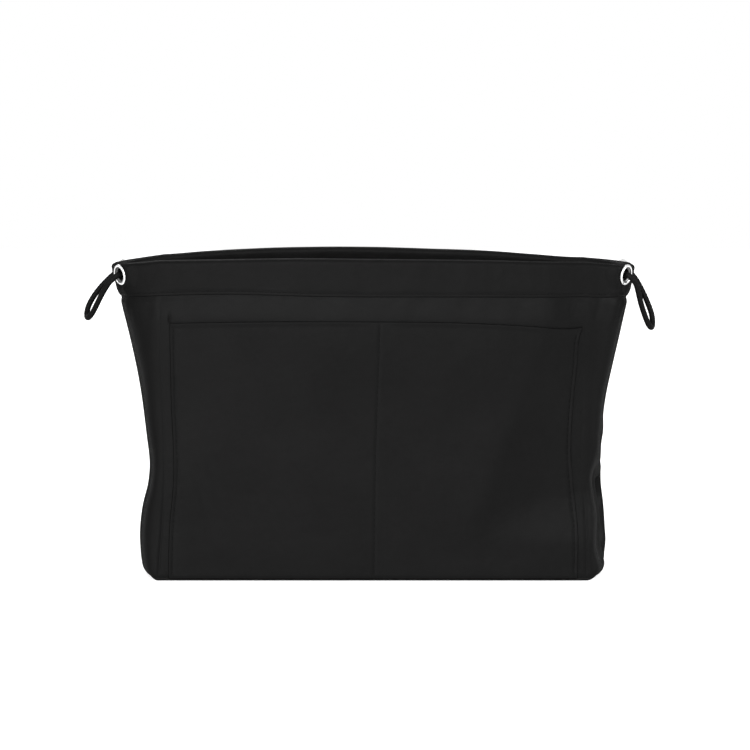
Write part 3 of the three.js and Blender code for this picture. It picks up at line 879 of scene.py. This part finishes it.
def plan_ring(z, outward):
    """The pouch's outline at a height, as one closed ring of points."""
    x = np.linspace(-SEAM_X, SEAM_X, 120)
    angle = np.linspace(np.pi / 2, 0, 26)
    return np.concatenate([
        wall_point(FRONT, x, z, outward),
        nose_point(RIGHT, FRONT, angle, z, outward)[1:],
        nose_point(RIGHT, REAR, angle[::-1], z, outward)[1:-1],
        wall_point(REAR, x[::-1], z, outward),
        nose_point(LEFT, REAR, angle, z, outward)[1:],
        nose_point(LEFT, FRONT, angle[::-1], z, outward)[1:-1],
    ])


def plate(name, levels, material, replaced):
    """A closed plate from rings, from its underside out and up and back in over the top."""
    rings = np.stack([plan_ring(z, outward) for z, outward in levels])
    faces = capped_faces(*rings.shape[:2])
    made = new_object(name, rings, faces, material, rings[..., :2])
    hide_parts(replaced)
    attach(made, "body")


plate(
    "base_shell",
    [
        (0.0, -1.6), (0.1, -0.8), (0.35, -0.2), (0.7, 0.1), (1.1, 0.2), (WALL_FOOT - SLIT, 0.1),
        (WALL_FOOT - SLIT, -1.1), (BASE_PANEL_TOP, -1.3),
    ],
    SHELL_CLOTH, "base_panel",
)
plate(
    "base_lining_cloth",
    [
        (BASE_LINING_FOOT, -2.7), (BASE_LINING_FOOT + 0.3, -2.5), (BASE_LINING_TOP - 0.2, -2.5),
        (BASE_LINING_TOP, -2.8),
    ],
    LINING_CLOTH, "base_lining",
)
board_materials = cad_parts["base_board"].data.materials
board_materials.clear()
board_materials.append(BOARD)


# Casing band
BAND_STITCH = 1.6  # from the band's foot up to its row of stitches
BAND_STITCH_OUT = CASING_PROUD - 0.2  # they lie sunk in
BAND_GIRTH = 55.0  # round the sleeve, for its weave


def casing_section(height, inset):
    """Distances out from the face and heights over the foot, up the sleeve's face and down its back.

    The section runs along a new last axis of the array of heights.
    """
    height = height[..., None]
    top = height - CASING_ROUND
    face = CASING_PROUD - inset
    back = CASING_PROUD - CASING_DEPTH + inset
    corner = np.array([[-0.55, 0.0], [-0.25, 0.06], [-0.07, 0.24], [0.0, 0.55]])
    up = lerp(inset + 0.55, top, np.linspace(0, 1, 24)[1:] ** 0.9)
    sunk = 0.28 * hill(up - BAND_STITCH, 0.7) * (inset == 0)  # along the row of stitches
    turn = np.linspace(0, np.pi, 15)[1:]
    fall = np.linspace(0, 1, 9)[1:]
    seam_face = LINING[1] - CASING_PROUD + inset / 2
    parts = [
        (face + corner[:, 0], inset + corner[:, 1]),
        (face - sunk, up),
        ((face + back) / 2 + (face - back) / 2 * np.cos(turn), top + (CASING_ROUND - inset) * np.sin(turn)),
        (back, lerp(top, CASING_PINCH, fall)),
        (lerp(back, seam_face, smooth(fall)), lerp(CASING_PINCH, inset, fall)),
    ]
    outs, overs, _ = zip(*(np.broadcast_arrays(out, over, height) for out, over in parts))
    return np.concatenate(outs, -1), np.concatenate(overs, -1)


def band_swell(side, run, over):
    """Gathers along the band, out from its even face."""
    gather = 0.07 * ripple(run, 13, 61 + side) + 0.22 * ripple(run, 47, 63 + side)
    return gather * smooth(over, 5)


def towards_rim(over):
    """From 0 at the band's foot to 1 at its rim, where it hangs as the rim does."""
    return smooth(over - 3, 14)


def kept_relief(over):
    """How much of the wall's relief at the band's foot there still is over it."""
    return 1 - 0.35 * smooth(over, 16)


def band_wall_point(side, x, out, over):
    foot = band_foot(side, x)
    height = foot + over - rim_drop(side, x) * towards_rim(over)
    points = wall_point(side, x, height, out + band_swell(side, x, over))
    own = wall_relief(side, x, height)
    points[..., 1] += side * (wall_relief(side, x, foot) * kept_relief(over) - own)
    return points


TIP_REACH = 20.0  # from the seam to the tip, for how the rim hangs


def band_nose_point(end, side, angle, out, over):
    foot = nose_band_foot(end, side, angle)
    swell = band_swell(side, run_round(end, angle, NOSE_RADIUS), over) * np.sin(angle)
    # at the tip the two halves of the band are equally high
    x = end * (SEAM_X + TIP_REACH * np.cos(angle))
    drop = lerp((rim_drop(FRONT, x) + rim_drop(REAR, x)) / 2, rim_drop(side, x), smooth(angle, 0.6))
    height = foot + over - drop * towards_rim(over)
    points = nose_point(end, side, angle, height, out + swell)
    own = wall_relief(side, end * SEAM_X + 0 * height, height)
    wanted = wall_relief(side, end * SEAM_X + 0 * foot, foot) * kept_relief(over)
    points[..., 1] += side * (wanted - own) * np.sin(angle) ** 3
    return points


def band_sheet(name, run, layers):
    """The sleeve from its outer and inner face, with the cloth's run along it for its weave."""
    uv = np.stack(np.meshgrid(run, np.linspace(0, BAND_GIRTH, len(layers[0]))), -1)
    return sheet(name, *layers, uv, CASING_CLOTH, wrapped=True)


def band_walls(side_name, side):
    height = wall_rim(WALL_X) - band_foot(side, WALL_X)
    layers = []
    for inset in (0.0, CASING_FABRIC):
        out, over = casing_section(height, inset)
        layers.append(band_wall_point(side, WALL_X[:, None], out, over).transpose(1, 0, 2))
    made = band_sheet(side_name + "_band", WALL_X, layers)
    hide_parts(side_name + "_casing")
    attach(made, wall_body(side))

    def place(at, out):
        return band_wall_point(side, at, out + BAND_STITCH_OUT, BAND_STITCH)

    sewn = stitches(side_name + "_band_stitches", [row_on(place, WALL_X)])
    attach(sewn, wall_body(side))


HOLE_RADIUS = 3.6
CUT_DEPTH = 4.0  # half of it lies inside the band's outer face
CLOTH_UNDER_FLANGE = 0.12  # how far the band's cloth stands proud there


def cut_hole(made, seat):
    """Cuts an eyelet's hole through the outer cloth of the band."""
    turn = Vector(seat.outward).to_track_quat("Z", "Y")
    bpy.ops.mesh.primitive_cylinder_add(
        vertices=32, radius=HOLE_RADIUS * MM, depth=CUT_DEPTH * MM,
        location=seat.centre * MM, rotation=turn.to_euler(),
    )
    hole = made.modifiers.new("hole", "BOOLEAN")
    hole.operation = "DIFFERENCE"
    hole.solver = "EXACT"
    hole.object = bpy.context.object
    bpy.context.view_layer.update()
    graph = bpy.context.evaluated_depsgraph_get()
    made_with_hole = bpy.data.meshes.new_from_object(made.evaluated_get(graph))
    bpy.data.objects.remove(hole.object)
    made.modifiers.clear()
    made.data = made_with_hole


def band_end(corner, end_name, end, side):
    seat = SEATS[end, side]
    angle = spread(64) * np.pi / 2
    height = nose_rim(angle) - nose_band_foot(end, side, angle)
    layers = []
    for inset in (0.0, CASING_FABRIC):
        out, over = casing_section(height, inset)
        points = band_nose_point(end, side, angle[:, None], out, over).transpose(1, 0, 2)
        on_face = (out > CASING_PROUD - 2.2).T
        pulled = flattened(points, seat, CLOTH_UNDER_FLANGE - inset)
        layers.append(np.where(on_face[..., None], pulled, points))
    made = band_sheet(corner + "_band_end", run_round(end, angle, WEAVE_RADIUS), layers)
    cut_hole(made, seat)
    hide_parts(end_name + "_casing_end")
    follow_corner(made)

    def place(at, out):
        return band_nose_point(end, side, at, out + BAND_STITCH_OUT, BAND_STITCH + 0 * at)

    sewn = stitches(corner + "_band_end_stitches", [row_on(place, angle)])
    follow_corner(sewn)


for side_name, side in SIDES.items():
    band_walls(side_name, side)
    for end_name, end in ENDS.items():
        band_end(f"{side_name}_{end_name}", end_name, end, side)

# Eyelets: [radius, height over the band's face] profiles, turned round their axes
EYELET_PROFILE = [
    [3.0, -2.3], [3.7, -2.33], [4.1, -2.25], [4.12, -2.1], [3.98, -1.98], [3.45, -1.95], [3.45, 0.14],
    [4.9, 0.14], [5.14, 0.2], [5.22, 0.36], [5.18, 0.6], [5.04, 0.84], [4.82, 1.02], [4.55, 1.12],
    [4.28, 1.1], [4.08, 0.96], [3.94, 0.74], [3.78, 0.52], [3.5, 0.36], [3.2, 0.2], [3.06, -0.1],
    [3.0, -0.6],
]
THROAT_FROM = 15  # the rows of the profile from here on are the throat, darkened with painted shade
WASHER_PROFILE = [[3.55, -1.62], [4.3, -1.62], [4.42, -1.55], [4.42, -1.37], [4.3, -1.3], [3.55, -1.3]]


def lathe(name, seat, profile, node, throat=None, steps=72):
    """A profile turned round an eyelet's axis. Its first row and its rows from throat on are darkened with
    painted shade.
    """
    ring = circles(seat.along, np.cross(seat.outward, seat.along), steps)
    points = np.array([seat.centre + ring * radius + seat.outward * height for radius, height in profile])
    faces = ring_faces(len(profile), steps, closed=True)
    faces = outward_facing(points.reshape(-1, 3) - seat.centre, faces)
    made = new_object(name, points, faces, NICKEL)
    if throat is not None:
        made.data.materials.append(SHADED_THROAT_NICKEL)
        for face in made.data.polygons:
            row = face.index // steps
            face.material_index = int(row >= throat or row == 0)
    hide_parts(node)
    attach(made, "body")


for corner, end, side in CORNERS:
    lathe(corner + "_ring", SEATS[end, side], EYELET_PROFILE, corner + "_eyelet", THROAT_FROM)
    lathe(corner + "_ring_washer", SEATS[end, side], WASHER_PROFILE, corner + "_eyelet_washer")

# Front pockets: each compartment is two cloths that meet in its middle
POCKET_STITCH = 1.9  # from a sewn edge in to its row of stitches
POCKET_MIDDLE = {LEFT: -49.0, RIGHT: 52.0}
POCKET_EDGE_ROUND = 0.8
POCKET_HEM_ROUND = 0.6
POCKET_FOOT = WALL_FOOT + 0.02


def pocket_top(x):
    return POCKET_TOP + through(POCKET_RIM, x)


def pocket_line(end, which, z):
    """Where a compartment's edge, divider or middle lies at a height."""
    if which == "edge":
        return pocket_edge(end, z)
    if which == "divider":
        return through(DIVIDER, z)
    return POCKET_MIDDLE[end] + 0 * z


def pocket_point(x, z, outward):
    """A point on a pocket. Near the divider and the edges it dips where it is sewn down."""
    points = wall_point(FRONT, x, z, outward)
    edges = (hill(x - pocket_edge(end, z) + end * POCKET_STITCH, 0.8) for end in (LEFT, RIGHT))
    sewn = 0.3 * sum(edges) + 0.24 * hill(x - through(DIVIDER, z), 0.75)
    mouth = 0.3 * smooth(z - pocket_top(x) + 3, 3) * (1 - hill(x - 3, 9))
    points[..., 1] += sewn - mouth
    return points


def pocket_half(end_name, end, which):
    """The cloth from the middle of a compartment to its edge or to the divider."""
    gs, gu = np.meshgrid(spread(54), spread(128))
    z = lerp(POCKET_FOOT, POCKET_TOP, gu)
    left, right = (which, "middle") if (end == LEFT) == (which == "edge") else ("middle", which)
    for _ in range(2):
        x = lerp(pocket_line(end, left, z), pocket_line(end, right, z), gs)
        z = lerp(POCKET_FOOT, pocket_top(x), gu)
    full = rounded(pocket_top(x) - z, POCKET_HEM_ROUND)
    if which == "edge":
        full = np.minimum(full, rounded(np.abs(x - pocket_line(end, which, z)), POCKET_EDGE_ROUND))
    outer = pocket_point(x, z, lerp(POCKET[1] + 0.15, POCKET[0], full))
    inner = pocket_point(x, z, POCKET[1])
    name = f"pocket_{end_name}_{'outer' if which == 'edge' else 'inner'}_cloth"
    made = sheet(name, outer, inner, np.stack([x, z], -1), POCKET_CLOTH)
    body = "front_pocket_" + end_name
    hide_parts(body)
    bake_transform(made)


for end_name, end in ENDS.items():
    for which in ("edge", "divider"):
        pocket_half(end_name, end, which)


def upright_row(place_x, low_z, high_z, lift):
    """A row of stitches up the front, at the x that place_x gives for a height."""
    z = np.linspace(low_z, high_z, 200)
    return row_on(lambda at, out: wall_point(FRONT, place_x(at), at, out + lift), z)


pocket_rows = [
    upright_row(lambda z: pocket_edge(LEFT, z) + POCKET_STITCH, 3, POCKET_TOP - 1.5, POCKET[0] - 0.15),
    upright_row(lambda z: pocket_edge(RIGHT, z) - POCKET_STITCH, 3, POCKET_TOP - 5, POCKET[0] - 0.15),
    upright_row(lambda z: through(DIVIDER, z), 3, POCKET_TOP, POCKET[0] - 0.3),
    upright_row(lambda z: TACK_X + 0 * z, TACK_FOOT, TACK_TOP, 0.0),
]
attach(stitches("pocket_stitches", pocket_rows), "front_wall")


# Stage and light, in metres
WHITE = (1, 1, 1, 1)
FLOOR_SIZE = 3.2
FLOOR_GLOW = 0.8  # the floor looks white to the camera and in reflections
AMBIENT = 0.25  # the world's light on things
LIT_POINT = Vector((0, 0, 0.08))
LIGHT_DISTANCE = 2.0


def seen_directly(tree):
    """1 for what the camera sees, also in reflections and through glass, and 0 for the light on things."""
    rays = new_node(tree, "LightPath", {}).outputs
    seen = math_node(tree, "MAXIMUM", rays["Is Camera Ray"], rays["Is Glossy Ray"])
    return math_node(tree, "MAXIMUM", seen, rays["Is Transmission Ray"])


bpy.ops.mesh.primitive_plane_add(size=FLOOR_SIZE)
floor = bpy.context.object
floor.name = "floor"
material, tree, surface = new_material("floor")
feed(tree, surface, {"Base Color": (0.9, 0.9, 0.9, 1), "Roughness": 1.0, "Specular IOR Level": 0.0})
strength = math_node(tree, "MULTIPLY", seen_directly(tree), FLOOR_GLOW)
glow = new_node(tree, "Emission", {"Color": WHITE, "Strength": strength}).outputs[0]
both = new_node(tree, "AddShader", {0: surface.outputs[0], 1: glow}).outputs[0]
feed(tree, tree.nodes["Material Output"], {"Surface": both})
floor.data.materials.append(material)

world = bpy.data.worlds.new("world")
bpy.context.scene.world = world
world.use_nodes = True
tree = world.node_tree
strength = math_node(tree, "MULTIPLY_ADD", seen_directly(tree), 1 - AMBIENT, AMBIENT)
feed(tree, tree.nodes["Background"], {"Color": WHITE, "Strength": strength})

# Softboxes: name, azimuth, elevation, width, height and power in watts
for name, azimuth, elevation, width, height, power in [
    ("key", -25, 12, 0.8, 0.8, 8.8),
    ("front", 0, 18, 0.8, 0.8, 6.4),
    ("high", 0, 40, 0.8, 0.8, 10),
    ("top", 0, 75, 1.0, 1.0, 3),
    ("left", -80, 20, 0.4, 1.1, 3.5),
    ("right", 80, 20, 0.4, 1.1, 17),
    ("rear", 195, 38, 1.0, 0.8, 10),
]:
    data = bpy.data.lights.new(name, "AREA")
    data.shape = "RECTANGLE"
    data.size, data.size_y = width, height
    data.energy = power
    lamp = add_object(name, data)
    away = direction(azimuth, elevation)
    lamp.location = LIT_POINT + away * LIGHT_DISTANCE
    lamp.rotation_euler = away.to_track_quat("Z", "Y").to_euler()
bpy.context.scene.view_settings.view_transform = "Standard"
